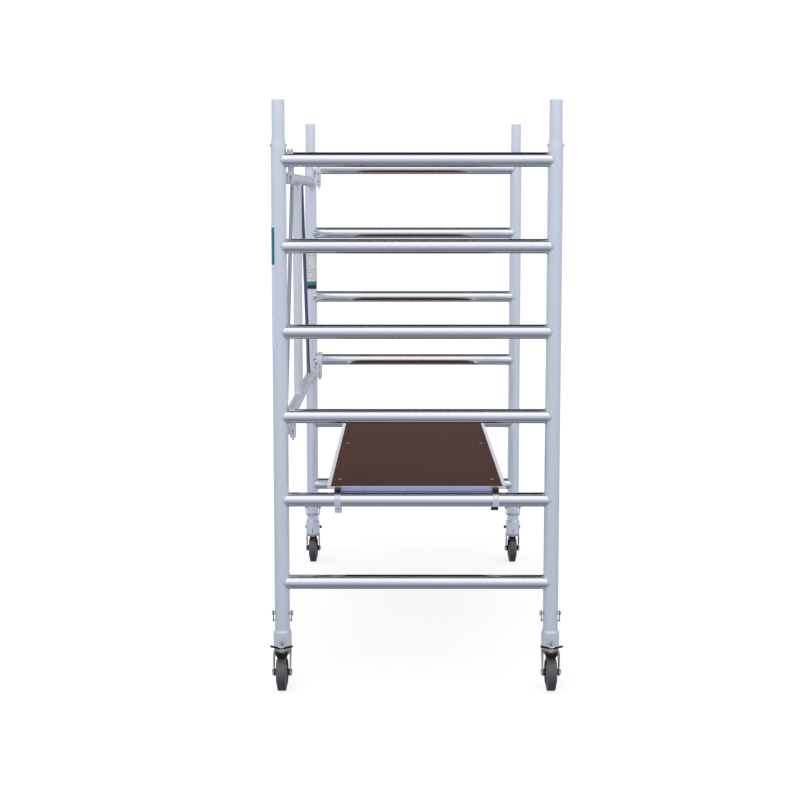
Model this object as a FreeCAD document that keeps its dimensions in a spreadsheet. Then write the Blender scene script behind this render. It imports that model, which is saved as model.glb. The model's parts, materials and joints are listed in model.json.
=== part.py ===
import FreeCAD, Part
import os
from FreeCAD import Vector as V

# Mobile tower scaffold, one lift high: two welded ladder frames on swivel castors,
# a hook-on platform and a hook-on side guardrail.
# Row frame: origin on the floor at the middle of the footprint, +Z up, +Y along the
# platform, +X across. The frame at -Y is called front, the guardrail is on the -X side.
# All sizes are in millimetres.

doc = FreeCAD.newDocument("tower_scaffold")
sheet = doc.addObject("Spreadsheet::Sheet", "dims")
_row = [0]


class Q:
    """A size: its value and the sheet expression that drives it."""

    def __init__(self, v, e):
        self.v = float(v)
        self.e = e

    def _mix(self, other, sign, swap=False):
        o = q(other)
        a, b = (o, self) if swap else (self, o)
        if sign == "+":
            return Q(a.v + b.v, "(%s + %s)" % (a.e, b.e))
        if sign == "-":
            return Q(a.v - b.v, "(%s - %s)" % (a.e, b.e))
        if sign == "*":
            return Q(a.v * b.v, "(%s * %s)" % (a.e, b.e))
        return Q(a.v / b.v, "(%s / %s)" % (a.e, b.e))

    def __add__(self, o): return self._mix(o, "+")
    def __radd__(self, o): return self._mix(o, "+", True)
    def __sub__(self, o): return self._mix(o, "-")
    def __rsub__(self, o): return self._mix(o, "-", True)
    def __mul__(self, o): return self._mix(o, "*")
    def __rmul__(self, o): return self._mix(o, "*", True)
    def __truediv__(self, o): return self._mix(o, "/")
    def __neg__(self): return Q(0, "0") - self


def q(x):
    return x if isinstance(x, Q) else Q(x, repr(float(x)))


def dim(alias, value):
    _row[0] += 1
    r = _row[0]
    sheet.set("A%d" % r, alias)
    sheet.set("B%d" % r, str(value))
    sheet.setAlias("B%d" % r, alias)
    return Q(value, "dims." + alias)


# ---------------------------------------------------------------- driving dimensions
half_w = dim("half_width", 450)            # upright centre to middle
half_l = dim("half_length", 950)           # frame centre to middle
up_r = dim("upright_radius", 25)
up_wall = dim("upright_wall", 2.2)
sock_r = dim("socket_radius", 30.2)        # expanded lower end
sock_z0 = dim("socket_bottom", 139)
sock_z1 = dim("socket_top", 193)
spig_r = dim("spigot_radius", 21.25)       # swaged upper end
neck_z0 = dim("neck_bottom", 1800)
neck_z1 = dim("neck_top", 1839)
top_z = dim("overall_height", 1956)
rung_r = dim("rung_radius", 24)
rung_wall = dim("rung_wall", 2)
rung_low = dim("lowest_rung_height", 363.5)
pitch = dim("rung_pitch", 280)
weld = dim("weld_gap", 0.02)
pin_z = dim("lock_pin_height", 257)
pin_r = dim("lock_pin_radius", 5)
run = dim("running_clearance", 0.05)
btn_z = dim("button_height", 1809)
btn_r = dim("button_radius", 4.9)
trail = dim("castor_trail", 34)
wheel_r = dim("wheel_radius", 62.5)
rim_r = dim("rim_radius", 38)
axle_r = dim("axle_radius", 5)
crown_z0 = dim("crown_underside", 128)
crown_t = dim("crown_thickness", 3.5)
leg_in = dim("fork_inner_half", 26)
leg_t = dim("fork_plate", 3)
king_r = dim("king_pin_radius", 6)
ped_y = dim("pedal_pivot_out", 40)
ped_z = dim("pedal_pivot_height", 137.5)
ped_a = dim("pedal_rest_tilt", 35)
wire_r = dim("bail_wire_radius", 1.9)
bail_w = dim("bail_half_width", 30.5)
deck_z = dim("deck_height", 690)
deck_t = dim("deck_thickness", 9.6)
deck_hw = dim("deck_half_width", 285.5)
plat_hw = dim("platform_half_width", 298)
deck_hl = dim("deck_half_length", 935)
beam_hl = dim("beam_half_length", 919.5)
beam_x0 = dim("beam_inner", 253)
beam_x1 = dim("beam_outer", 273)
beam_z0 = dim("beam_bottom", 623)
claw_ri = dim("claw_inner_radius", 24.3)
claw_t = dim("claw_strap", 5)
lock_y = dim("wind_lock_pivot_out", 27.6)
lock_z = dim("wind_lock_pivot_drop", 23)
rail_x = dim("guardrail_plane", 450)
rail_r = dim("guardrail_radius", 20)
rail_drop = dim("guardrail_drop", 56)
rail_hl = dim("guardrail_half_length", 915)
post_r = dim("post_radius", 17)
brace_r = dim("brace_radius", 7)
brace_top = dim("brace_top_offset", 283)
brace_bot = dim("brace_bottom_offset", 717)
gcl_x0 = dim("guard_claw_outer", 421.5)
gcl_x1 = dim("guard_claw_inner", 403)
gcl_ri = dim("guard_claw_inner_radius", 24.5)
gcl_ro = dim("guard_claw_outer_radius", 34)
doc.recompute()

RUNGS = [rung_low + pitch * i for i in range(6)]      # lowest first
NODES = []
_n = [0]


def name(stem):
    _n[0] += 1
    return "%s_%d" % (stem, _n[0])


def bind(obj, prop, val):
    val = q(val)
    setattr(obj, prop, val.v)
    if "dims." in val.e:
        obj.setExpression(prop, val.e)


def place(obj, x, y, z, rot=None):
    x, y, z = q(x), q(y), q(z)
    obj.Placement = FreeCAD.Placement(V(x.v, y.v, z.v), rot or FreeCAD.Rotation())
    for ax, val in (("x", x), ("y", y), ("z", z)):
        if "dims." in val.e:
            obj.setExpression("Placement.Base." + ax, val.e)
    return obj


def turn(ax, deg):
    return FreeCAD.Rotation(V(*{"X": (1, 0, 0), "Y": (0, 1, 0), "Z": (0, 0, 1)}[ax]), deg)


def basis(ex, ey, ez):
    m = FreeCAD.Matrix(ex[0], ey[0], ez[0], 0, ex[1], ey[1], ez[1], 0, ex[2], ey[2], ez[2], 0, 0, 0, 0, 1)
    return FreeCAD.Placement(m).Rotation


def box(x0, y0, z0, lx, ly, lz):
    o = doc.addObject("Part::Box", name("Box"))
    bind(o, "Length", lx)
    bind(o, "Width", ly)
    bind(o, "Height", lz)
    return place(o, x0, y0, z0)


def cyl(axis, r, length, x=0, y=0, z=0, angle=None, spin=0):
    """Cylinder from (x, y, z) along +axis; angle and spin give a sector."""
    o = doc.addObject("Part::Cylinder", name("Cyl"))
    bind(o, "Radius", r)
    bind(o, "Height", length)
    if angle is not None:
        o.Angle = angle
    rot = {"Z": FreeCAD.Rotation(), "X": turn("Y", 90), "Y": turn("X", -90)}[axis]
    if spin:
        rot = rot.multiply(turn("Z", spin))
    return place(o, x, y, z, rot)


def torus(r1, r2, x, y, z, rot=None, angle=360):
    o = doc.addObject("Part::Torus", name("Ring"))
    bind(o, "Radius1", r1)
    bind(o, "Radius2", r2)
    o.Angle3 = angle
    return place(o, x, y, z, rot)


def cone(axis, r1, r2, length, x=0, y=0, z=0):
    o = doc.addObject("Part::Cone", name("Cone"))
    bind(o, "Radius1", r1)
    bind(o, "Radius2", r2)
    bind(o, "Height", length)
    rot = {"Z": FreeCAD.Rotation(), "X": turn("Y", 90), "Y": turn("X", -90)}[axis]
    return place(o, x, y, z, rot)


def prism(axis, n, rc, length, x=0, y=0, z=0):
    o = doc.addObject("Part::Prism", name("Hex"))
    o.Polygon = n
    bind(o, "Circumradius", rc)
    bind(o, "Height", length)
    rot = {"Z": FreeCAD.Rotation(), "X": turn("Y", 90), "Y": turn("X", -90)}[axis]
    return place(o, x, y, z, rot)


def fuse(*objs):
    objs = list(objs)
    if len(objs) == 1:
        return objs[0]
    o = doc.addObject("Part::MultiFuse", name("Fuse"))
    o.Shapes = objs
    o.Refine = True
    return o


def cut(base, *tools):
    o = doc.addObject("Part::Cut", name("Cut"))
    o.Base = base
    o.Tool = fuse(*tools)
    o.Refine = True
    return o


def node(obj, label):
    obj.Label = label
    NODES.append(obj)
    return obj


# ---------------------------------------------------------------- sketched bodies
def body(label):
    b = doc.addObject("PartDesign::Body", "Body_" + label)
    b.Label = label
    return b


def plane(b, role):
    for f in b.Origin.OriginFeatures:
        if f.Role == role:
            return f
    raise RuntimeError("no plane " + role)


def sketch(b, role, loops=(), circles=(), off=0):
    """Closed outlines of straight lines, and circles (x, y, r), each point held to
    the sketch origin by a distance that the sheet drives."""
    import Sketcher
    s = b.newObject("Sketcher::SketchObject", name("Sketch"))
    s.AttachmentSupport = [(plane(b, role), "")]
    s.MapMode = "FlatFace"
    off = q(off)
    if off.v or "dims." in off.e:
        s.AttachmentOffset = FreeCAD.Placement(V(0, 0, off.v), FreeCAD.Rotation())
        if "dims." in off.e:
            s.setExpression("AttachmentOffset.Base.z", off.e)

    def hold(geo, pos, x, y):
        for kind, val, axis in (("DistanceX", q(x), -2), ("DistanceY", q(y), -1)):
            if abs(val.v) < 1e-9:
                s.addConstraint(Sketcher.Constraint("PointOnObject", geo, pos, axis))
                continue
            if val.v > 0:
                i = s.addConstraint(Sketcher.Constraint(kind, -1, 1, geo, pos, val.v))
                e = val.e
            else:
                i = s.addConstraint(Sketcher.Constraint(kind, geo, pos, -1, 1, -val.v))
                e = (-val).e
            if "dims." in e:
                s.setExpression("Constraints[%d]" % i, e)

    for pts in loops:
        pts = [(q(a), q(c)) for a, c in pts]
        first = None
        n = len(pts)
        for i in range(n):
            a, c = pts[i], pts[(i + 1) % n]
            g = s.addGeometry(Part.LineSegment(V(a[0].v, a[1].v, 0), V(c[0].v, c[1].v, 0)), False)
            if first is None:
                first = g
        for i in range(n):
            s.addConstraint(Sketcher.Constraint("Coincident", first + i, 2, first + (i + 1) % n, 1))
        for i in range(n):
            hold(first + i, 1, *pts[i])
    for x, y, r in circles:
        x, y, r = q(x), q(y), q(r)
        g = s.addGeometry(Part.Circle(V(x.v, y.v, 0), V(0, 0, 1), r.v), False)
        i = s.addConstraint(Sketcher.Constraint("Radius", g, r.v))
        if "dims." in r.e:
            s.setExpression("Constraints[%d]" % i, r.e)
        hold(g, 3, x, y)
    return s


def pad(b, s, length, mid=False):
    p = b.newObject("PartDesign::Pad", name("Pad"))
    p.Profile = s
    bind(p, "Length", length)
    p.Midplane = mid
    s.Visibility = False
    b.Tip = p
    return p


def through(b, s):
    p = b.newObject("PartDesign::Pocket", name("Pocket"))
    p.Profile = s
    p.Type = 1
    p.Midplane = True
    b.Tip = p
    return p


def bore(b, s, depth):
    """Blind pocket that goes down from a sketch on the top face."""
    p = b.newObject("PartDesign::Pocket", name("Pocket"))
    p.Profile = s
    bind(p, "Length", depth)
    b.Tip = p
    return p


def revolve(b, s, axis):
    p = b.newObject("PartDesign::Revolution", name("Turned"))
    p.Profile = s
    p.ReferenceAxis = (s, [axis])
    p.Angle = 360
    b.Tip = p
    return p


# ================================================================ ladder frames
# Upright: one tube, swaged to a spigot at the top and expanded to a socket at the foot.
def upright(label, sx, sy):
    b = body(label)
    ri = up_r - up_wall
    pts = [(sock_r, sock_z0), (sock_r, sock_z1), (up_r, sock_z1 + 8), (up_r, neck_z0), (spig_r, neck_z1),
           (spig_r, top_z - 4), (spig_r - 1, top_z), (spig_r - up_wall, top_z), (spig_r - up_wall, neck_z1 - 3),
           (ri, neck_z0 - 3), (ri, sock_z1 + 10), (sock_r - up_wall, sock_z1 + 2), (sock_r - up_wall, sock_z0)]
    revolve(b, sketch(b, "XZ_Plane", [pts]), "V_Axis")
    through(b, sketch(b, "YZ_Plane", circles=[(0, pin_z, pin_r + run), (0, btn_z, btn_r + 0.1)]))
    s0, s1 = sock_z0 + 5, sock_z0 + 24
    through(b, sketch(b, "XZ_Plane", [[(-1.75, s0), (1.75, s0), (1.75, s1), (-1.75, s1)]]))
    place(b, half_w * sx, half_l * sy, 0)
    return node(b, label)


CORNERS = [("front_left", -1, -1), ("front_right", 1, -1), ("rear_left", -1, 1), ("rear_right", 1, 1)]
for tag, sx, sy in CORNERS:
    upright("upright_" + tag, sx, sy)


# Rungs: six tubes coped to the uprights and welded.
def rungs(label, sy):
    outer = fuse(*[cyl("X", rung_r, half_w * 2, -half_w, half_l * sy, z) for z in RUNGS])
    inner = [cyl("X", rung_r - rung_wall, half_w * 2 + 20, -half_w - 10, half_l * sy, z) for z in RUNGS]
    ends = [cyl("Z", up_r + weld, top_z, half_w * s, half_l * sy, 0) for s in (-1, 1)]
    return node(cut(outer, *(inner + ends)), label)


rungs("rungs_front", -1)
rungs("rungs_rear", 1)

# Adhesive labels on the left uprights: thin curved films.
lab = []
for (sy, z0, z1, start, span) in ((-1, 1143, 1549, 125, 110), (1, 1238, 1453, 200, 140)):
    shell = cyl("Z", up_r + 0.35, z1 - z0, -half_w, half_l * sy, z0, angle=span, spin=start)
    hollow = cyl("Z", up_r + weld, z1 - z0 + 20, -half_w, half_l * sy, z0 - 10)
    lab.append(cut(shell, hollow))
node(fuse(*lab), "labels")


# ================================================================ castors
# Local frame of a castor: Z is the swivel axis, the wheel trails towards -Y.
def spot(obj, sx, sy, z=0, y=0):
    rot = FreeCAD.Rotation() if sy < 0 else turn("Z", 180)
    return place(obj, half_w * sx, half_l * sy + q(y) * (1 if sy < 0 else -1), z, rot)


# Stem with its flange and riveted king pin: stays pinned in the upright.
def stem(sx, sy):
    b = body("castor_stem_%d" % (len(NODES) + sx + 3 * sy))
    ro = up_r - up_wall - run
    pts = [(0, 121), (8, 121), (9.5, 122.5), (9.5, crown_z0 - 0.1), (king_r, crown_z0 - 0.1), (king_r, 136.1),
           (29.5, 136.1), (29.5, sock_z0), (ro, sock_z0), (ro, 298), (ro - 2, 300), (ro - 4, 300), (ro - 4, 145), (0, 145)]
    revolve(b, sketch(b, "XZ_Plane", [pts]), "V_Axis")
    through(b, sketch(b, "YZ_Plane", circles=[(0, pin_z, pin_r + run)]))
    return spot(b, sx, sy)


node(fuse(*[stem(sx, sy) for _, sx, sy in CORNERS]), "castor_stems")


# Lock pin through upright and stem, head on the inner side.
def lock_pin(sx, sy):
    s = -sx
    shaft = cyl("X", pin_r, 67.5, -34, 0, 0)
    tip = cone("X", pin_r - 1.2, pin_r, 1.5, -35.5, 0, 0)
    head = cyl("X", pin_r + 2.5, 3, 33.5, 0, 0)
    f = fuse(shaft, tip, head)
    return place(f, half_w * sx, half_l * sy, pin_z, FreeCAD.Rotation() if s > 0 else turn("Z", 180))


node(fuse(*[lock_pin(sx, sy) for _, sx, sy in CORNERS]), "castor_lock_pins")


# Wire bail: eyes round the pin's ends, legs down, loop round the inner side of the tube.
def bail(label, sx, sy):
    parts = []
    drop, bend = 30, 6
    for s in (-1, 1):
        x = bail_w * s
        parts.append(torus(pin_r + run * 2 + wire_r, wire_r, x, 0, 0, turn("Y", 90).multiply(turn("Z", 180))))
        parts.append(cyl("Z", wire_r, (drop - bend) - (pin_r + wire_r), x, 0, -(drop - bend)))
        parts.append(torus(bend, wire_r, x, bend, -(drop - bend), basis((0, -1, 0), (0, 0, -1), (1, 0, 0)), 90))
    parts.append(torus(bail_w, wire_r, 0, bend, -drop, None, 180))
    f = fuse(*parts)
    rot = FreeCAD.Rotation() if sy < 0 else turn("Z", 180)
    place(f, half_w * sx, half_l * sy, pin_z, rot)
    return node(f, label)


# Fork: pressed crown with the ball race cup, two legs and two ears for the pedal.
def fork(label, sx, sy):
    b = body(label)
    w = leg_in + leg_t
    zt = crown_z0 + crown_t
    pad(b, sketch(b, "XY_Plane", [[(-w, 10), (-15, 26), (15, 26), (w, 10), (w, -50), (10, -50), (10, -36.5),
                                   (-10, -36.5), (-10, -50), (-w, -50)]], off=crown_z0), crown_t)
    leg = [(14, zt), (18, zt - 8), (-trail + 14, wheel_r - 4), (-trail - 13, wheel_r - 4), (-52, zt - 10), (-50, zt)]
    for off in (leg_in, -w):
        pad(b, sketch(b, "YZ_Plane", [leg], off=off), leg_t)
        pad(b, sketch(b, "YZ_Plane", circles=[(-trail, wheel_r, 14)], off=off), leg_t)
    pad(b, sketch(b, "XY_Plane", circles=[(0, 0, 25)], off=zt), q(136) - zt)
    ear = [(-ped_y - 6, zt), (-ped_y - 6, ped_z + 2), (-ped_y - 3, ped_z + 5), (-ped_y + 3, ped_z + 5),
           (-ped_y + 6, ped_z + 2), (-ped_y + 6, zt)]
    for off in (20, -23):
        pad(b, sketch(b, "YZ_Plane", [ear], off=off), 3)
    through(b, sketch(b, "XY_Plane", circles=[(0, 0, king_r + run)]))
    through(b, sketch(b, "YZ_Plane", circles=[(-trail, wheel_r, axle_r + run), (-ped_y, ped_z, 3.05)]))
    spot(b, sx, sy)
    return node(b, label)


# Axle bolt with its nut.
def axle(label, sx, sy):
    w = leg_in + leg_t + 0.05
    bolt = fuse(cyl("X", axle_r, w * 2 + 4.6, -w - 4.6), prism("X", 6, 9.2, 4.8, w))
    nut = cut(prism("X", 6, 9.2, 4.2, -w - 4.2), cyl("X", axle_r + 0.02, 12, -w - 8))
    f = fuse(bolt, nut)
    spot(f, sx, sy, wheel_r, -trail)
    return node(f, label)


# Foot pedal of the wheel and swivel lock, with its pivot pin, grip ribs and brake tongue.
def pedal(label, sx, sy):
    parts = [cyl("X", 5.5, 38, -19), cyl("X", 3, 46.4, -23.2), box(-9, 3, -1.5, 18, 31, 3),
             box(-7, 15, 1.4, 14, 4, 2.4), box(-7, 25, 1.4, 14, 4, 2.4), box(-9, -2.5, -12.2, 18, 5, 9)]
    for s in (-1, 1):
        wing = doc.addObject("Part::Box", name("Wing"))
        wing.Length, wing.Width, wing.Height = 30, 15, 2.6
        r = turn("Y", -14) if s > 0 else turn("Z", 180).multiply(turn("Y", -14))
        wing.Placement = FreeCAD.Placement(V(8.4 * s, 15 if s > 0 else 30, -1.3), r)
        parts.append(wing)
    f = fuse(*parts)
    c = FreeCAD.Rotation(basis((-1, 0, 0), (0, -1, 0), (0, 0, 1)))
    rest = turn("X", -ped_a.v).multiply(c)
    rot = rest if sy < 0 else turn("Z", 180).multiply(rest)
    place(f, half_w * sx, half_l * sy + ped_y * (-1 if sy < 0 else 1), ped_z, rot)
    return node(f, label)


# Wheel core and tyre turn about X.
def core(label, sx, sy):
    b = body(label)
    pts = [(-25.7, axle_r + run), (-25.7, 12), (-9, 14.5), (-6, 28), (-16, 31.5), (-18.8, rim_r), (18.8, rim_r),
           (16, 31.5), (6, 28), (9, 14.5), (25.7, 12), (25.7, axle_r + run)]
    revolve(b, sketch(b, "XZ_Plane", [pts]), "H_Axis")
    spot(b, sx, sy, wheel_r, -trail)
    return node(b, label)


def tyre(label, sx, sy):
    b = body(label)
    half = [(19, rim_r + weld), (17.6, 43), (15.6, 47), (14.6, 53), (14.2, 60), (13.4, wheel_r)]
    pts = [(-a, c) for a, c in half] + [(a, c) for a, c in reversed(half)]
    revolve(b, sketch(b, "XZ_Plane", [pts]), "H_Axis")
    spot(b, sx, sy, wheel_r, -trail)
    return node(b, label)


# Spring button in the neck of the upright, one on each side.
def button(label, sx, sy, side):
    f = fuse(cyl("X", btn_r, 14, 12), cone("X", btn_r, btn_r - 1.9, 1.7, 26), cyl("X", btn_r + 1.4, 2, 17))
    place(f, half_w * sx, half_l * sy, btn_z, FreeCAD.Rotation() if side > 0 else turn("Z", 180))
    return node(f, label)


for tag, sx, sy in CORNERS:
    bail("pin_bail_" + tag, sx, sy)
    fork("castor_fork_" + tag, sx, sy)
    axle("axle_bolt_" + tag, sx, sy)
    pedal("brake_pedal_" + tag, sx, sy)
    core("wheel_core_" + tag, sx, sy)
    tyre("tyre_" + tag, sx, sy)
    button("button_outer_" + tag, sx, sy, sx)
    button("button_inner_" + tag, sx, sy, -sx)

# ================================================================ platform
rung_z = RUNGS[1]                                   # hooked on the second rung
RIVETS = [(x, y) for x in (-258.5, 258.5) for y in (-821, 0, 821)]
b = body("deck_panel")
notch = 7
nx, ny = deck_hw - notch, deck_hl - notch
pad(b, sketch(b, "XY_Plane", [[(-deck_hw, -ny), (-nx, -ny), (-nx, -deck_hl), (nx, -deck_hl), (nx, -ny), (deck_hw, -ny),
                               (deck_hw, ny), (nx, ny), (nx, deck_hl), (-nx, deck_hl), (-nx, ny), (-deck_hw, ny)]],
              off=deck_z - deck_t), deck_t)
before = doc.recompute() and b.Shape.Volume
bore(b, sketch(b, "XY_Plane", circles=[(x, y, 6.6) for x, y in RIVETS], off=deck_z), 1.8)
doc.recompute()
if abs(before - b.Shape.Volume - len(RIVETS) * 3.14159265 * 6.6 ** 2 * 1.8) > 5:
    raise RuntimeError("the rivet seats are not cut")
through(b, sketch(b, "XY_Plane", circles=[(x, y, 2.6) for x, y in RIVETS]))
node(b, "deck_panel")
node(fuse(*[fuse(cyl("Z", 2.5, deck_t - 1.7, x, y, deck_z - deck_t), cyl("Z", 6.5, 1.2, x, y, deck_z - 1.8),
                 cone("Z", 6.5, 5.6, 0.6, x, y, deck_z - 0.6)) for x, y in RIVETS]), "deck_rivets")


# Side beam: extruded box with a shelf and an upstanding lip that frame the panel.
def side_beam(s):
    b = body("side_beam_%s" % ("left" if s < 0 else "right"))
    zs = deck_z - deck_t
    pts = [(plat_hw, deck_z), (plat_hw, zs - 3), (beam_x1, zs - 3), (beam_x1, beam_z0), (beam_x0, beam_z0),
           (beam_x0, zs), (deck_hw + 0.1, zs), (deck_hw + 0.1, deck_z)]
    hole = [(beam_x0 + 2, beam_z0 + 2), (beam_x1 - 2, beam_z0 + 2), (beam_x1 - 2, zs - 5), (beam_x0 + 2, zs - 5)]
    pts = [(a * s, c) for a, c in pts]
    hole = [(a * s, c) for a, c in hole]
    pad(b, sketch(b, "XZ_Plane", [pts, hole]), beam_hl * 2, mid=True)
    return b


node(fuse(side_beam(-1), side_beam(1)), "side_beams")

# End trims: a thin metal edge across each end of the panel with a block at each corner.
trims = []
for s in (-1, 1):
    ya = -(deck_hl + 1.6) if s < 0 else deck_hl
    f = [box(-beam_x0, ya, deck_z - deck_t + 0.8, beam_x0 * 2, 1.6, deck_t - 5.3)]
    for x0 in (-plat_hw, beam_x0):
        f.append(box(x0, ya, deck_z - deck_t - 3, plat_hw - beam_x0, 1.6, deck_t - 1.5))
    for x0 in (-plat_hw, deck_hw + 0.1):
        f.append(box(x0, -(deck_hl + 1.6) if s < 0 else beam_hl, deck_z - deck_t - 3, plat_hw - deck_hw - 0.1,
                     deck_hl + 1.6 - beam_hl, deck_t + 3))
    trims.append(fuse(*f))
node(fuse(*trims), "platform_end_trims")

# Cross bars: a hollow end beam at each end and three cross members under the panel.
bars = []
zs = deck_z - deck_t
for y, w, hgt in ((-907, 25, 50), (907, 25, 50), (-467, 40, 30), (0, 40, 30), (467, 40, 30)):
    y0 = (-beam_hl if y == -907 else beam_hl - w) if abs(y) == 907 else q(y) - w / 2.0
    o = box(-beam_x0, y0, zs - hgt, beam_x0 * 2, w, hgt)
    i = box(-beam_x0 - 1, y0 + 2, zs - hgt + 2, beam_x0 * 2 + 2, w - 4, hgt - 4)
    bars.append(cut(o, i))
node(fuse(*bars), "platform_crossbars")


# Claw: strap over the rung with a front leg, an inner leg on the beam's end and a hinge eye.
# Local frame: X across the claw, origin on the rung's axis, -Y is out of the tower.
def local(f, x, sy, z):
    rot = FreeCAD.Rotation() if sy < 0 else turn("Z", 180)
    return place(f, x, half_l * sy, z, rot)


def claw(xc, sy):
    ro = claw_ri + claw_t
    hw = (beam_x1 - beam_x0) / 2
    arch = cut(cyl("X", ro, hw * 2, -hw, angle=180, spin=90), cyl("X", claw_ri, hw * 2 + 10, -hw - 5))
    leg = box(-hw, -ro, -18.5, hw * 2, claw_t, 18.5)
    inner = box(-hw, claw_ri, -18.5, hw * 2, half_l - beam_hl - claw_ri, 43)
    neck = box(-4, -ro, -lock_z, 8, claw_t, lock_z - 17.5)
    eye = cyl("X", 3.2, 8, -4, -lock_y, -lock_z)
    f = cut(fuse(arch, leg, inner, neck, eye), cyl("X", 1.55, 12, -6, -lock_y, -lock_z),
            cyl("X", claw_ri, hw * 2 + 4, -hw - 2))
    return local(f, xc, sy, rung_z)


beam_xc = (beam_x0 + beam_x1) / 2
node(fuse(*[claw(beam_xc * sx, sy) for _, sx, sy in CORNERS]), "platform_claws")

# Black plastic: a plug over each claw, under the trim, and a flush stop in each corner of the panel.
caps = []
for _, sx, sy in CORNERS:
    hw = (beam_x1 - beam_x0) / 2
    face = half_l - deck_hl - 1.6 - 0.1              # just outside the trim
    plug = cut(fuse(box(-hw, -18, 20, hw * 2, face + 18, 17.5),
                    box(-hw, face - 1, 24, hw * 2, half_l - beam_hl - face + 1, zs - 3.1 - rung_z - 24)),
               cyl("X", claw_ri + claw_t + 0.05, hw * 2 + 4, -hw - 2),
               box(-hw - 1, claw_ri - 0.05, -20, hw * 2 + 2, 20, 44.55))
    caps.append(local(plug, beam_xc * sx, sy, rung_z))
    caps.append(box(-deck_hw if sx < 0 else nx, -deck_hl if sy < 0 else ny, zs, notch, notch, deck_t))
node(fuse(*caps), "platform_end_caps")


# Wind lock: small lever on the claw's eye, hanging open; it swings under the rung.
def wind_lock(label, xc, sy, length, lo, hi):
    parts = [cyl("X", 1.5, hi - lo, lo, -lock_y, -lock_z),
             box(lo, -lock_y - 2, -lock_z - length, hi - lo, 4, length - 3.6)]
    for x0, x1 in ((lo, -4.15), (4.15, hi)):
        parts.append(cyl("X", 3.2, x1 - x0, x0, -lock_y, -lock_z))
        parts.append(box(x0, -lock_y - 2, -lock_z - 4, x1 - x0, 4, 4))
    return node(local(fuse(*parts), xc, sy, rung_z), label)


wind_lock("wind_lock_front_left", -beam_xc, -1, 17, -8.5, 15.5)
wind_lock("wind_lock_front_right", beam_xc, -1, 8, -16.5, 7.5)
wind_lock("wind_lock_rear_left", -beam_xc, 1, 8, -16.5, 7.5)
wind_lock("wind_lock_rear_right", beam_xc, 1, 17, -8.5, 15.5)

# ================================================================ side guardrail
z_top = RUNGS[5] - rail_drop
z_low = RUNGS[2] - rail_drop


def rail(z):
    return cut(cyl("Y", rail_r, rail_hl * 2, -rail_x, -rail_hl, z),
               cyl("Y", rail_r - 2, rail_hl * 2 + 20, -rail_x, -rail_hl - 10, z))


node(fuse(rail(z_top), rail(z_low)), "guardrail_rails")
cope = [cyl("Y", rail_r + weld, rail_hl * 2, -rail_x, -rail_hl, z) for z in (z_top, z_low)]
node(cut(cyl("Z", post_r, z_top - z_low, -rail_x, 0, z_low), cyl("Z", post_r - 2, z_top, -rail_x, 0, 0), *cope),
     "guardrail_post")

braces = []
for s in (-1, 1):
    p0 = V(0, brace_bot.v * s, 0)
    p1 = V(0, brace_top.v * s, (z_top - z_low).v)
    d = p1 - p0
    rod = doc.addObject("Part::Cylinder", name("Brace"))
    bind(rod, "Radius", brace_r)
    rod.Height = d.Length
    rod.Placement = FreeCAD.Placement(V(-rail_x.v, p0.y, z_low.v), FreeCAD.Rotation(V(0, 0, 1), d))
    braces.append(rod)
cope = [cyl("Y", rail_r + weld, rail_hl * 2, -rail_x, -rail_hl, z) for z in (z_top, z_low)]
node(cut(fuse(*braces), *cope), "guardrail_braces")


# Guardrail claw: arch over the rung, slotted plate down to a collar round the rail's end.
def guard_claw(z, sy):
    hw = (gcl_x0 - gcl_x1) / 2
    arch = cut(cyl("X", gcl_ro, hw * 2, -hw, angle=115, spin=90), cyl("X", gcl_ri, hw * 2 + 10, -hw - 5))
    plate = box(-hw, 24.6, -77.5, hw * 2, 32.4, 77.5)
    top = box(-hw, 24.6, 0, hw * 2, 9.4, 8)
    m = 1 if sy < 0 else -1
    xr = (rail_x - (gcl_x0 + gcl_x1) / 2) * -m
    collar = cyl("Y", rail_r + 3.5, 22, xr, half_l - rail_hl, -rail_drop)
    web = box((-hw - 8) if m > 0 else hw, half_l - rail_hl, -rail_drop - 11, 8, 22, 22)
    slot = box(-3.1, 20, -80, 6.2, 40, 66)
    foot = box(-hw - 1, 22, -90, hw * 2 + 2, 13, 16)
    pinhole = cyl("X", 2.55, hw * 2 + 4, -hw - 2, 44, -51.5)
    groove = cut(cyl("X", gcl_ro + 2, 6.2, -3.1, angle=120, spin=90), cyl("X", 29, 12, -6))
    f = cut(fuse(arch, plate, top, collar, web), cyl("Y", rail_r + weld, 60, xr, 20, -rail_drop), slot, pinhole, foot,
            groove, cyl("X", gcl_ri, hw * 2 + 4, -hw - 2))
    return local(f, -(gcl_x0 + gcl_x1) / 2, sy, z)


GUARD = [("top_front", RUNGS[5], -1), ("top_rear", RUNGS[5], 1), ("low_front", RUNGS[2], -1), ("low_rear", RUNGS[2], 1)]
node(fuse(*[guard_claw(z, sy) for _, z, sy in GUARD]), "guardrail_claws")


# Latch in the claw's slot: nose up and clear, tail with a finger tip below.
def latch(label, z, sy):
    parts = [cyl("X", 2.5, 18, -9, 44, -51.5), cyl("X", 6.5, 6, -3, 44, -51.5), box(-3, 26, -50, 6, 21, 26),
             box(-3, 41, -83, 6, 6, 32), cyl("X", 3, 6, -3, 44, -83),
             cyl("X", 1.9, 8, -4, 44, -85)]
    return node(local(fuse(*parts), -(gcl_x0 + gcl_x1) / 2, sy, z), label)


for tag, z, sy in GUARD:
    latch("guard_latch_" + tag, z, sy)

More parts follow.
